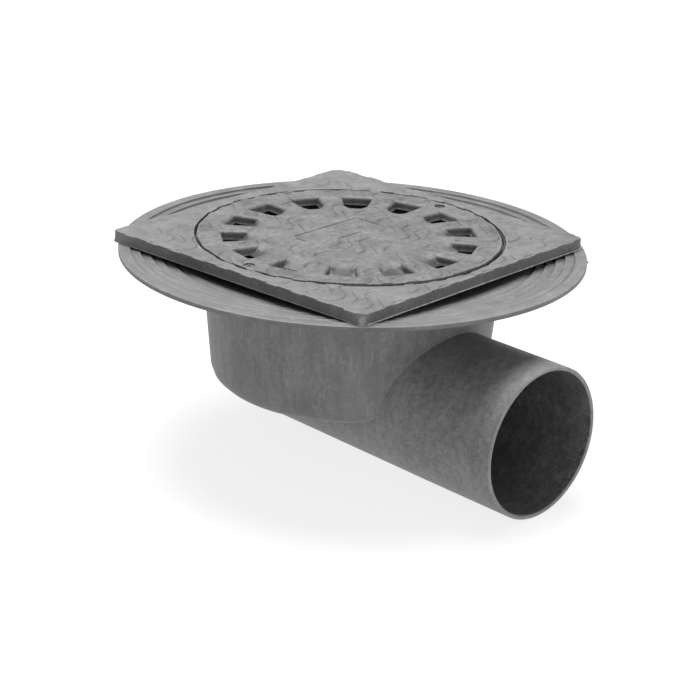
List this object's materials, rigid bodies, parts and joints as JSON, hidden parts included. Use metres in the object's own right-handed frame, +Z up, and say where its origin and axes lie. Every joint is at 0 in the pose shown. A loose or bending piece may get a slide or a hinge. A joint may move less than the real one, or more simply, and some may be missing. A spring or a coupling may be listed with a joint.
{
  "type": "gully trap",
  "caption": "Floor gully trap with a round siphon bucket, a dished flange, a side outlet pipe and a loose square cover frame that holds a round slotted grate.",
  "frame": {"origin": "under the middle of the object's length and width, at the level of the outlet pipe's lowest line; the bucket's axis is at x = -10 mm", "axes": "+Z up, parallel to the bucket's axis, +X along the outlet pipe towards its mouth"},
  "size_m": [0.36, 0.34, 0.1565],
  "materials": {
    "body_plastic": "moulded, matte",
    "cover_plastic": "moulded, matte"
  },
  "bodies": {
    "root": {"trap_body": "body_plastic", "cover_frame": "cover_plastic", "grate": "cover_plastic", "siphon_bell": "body_plastic"}
  },
  "joints": []
}
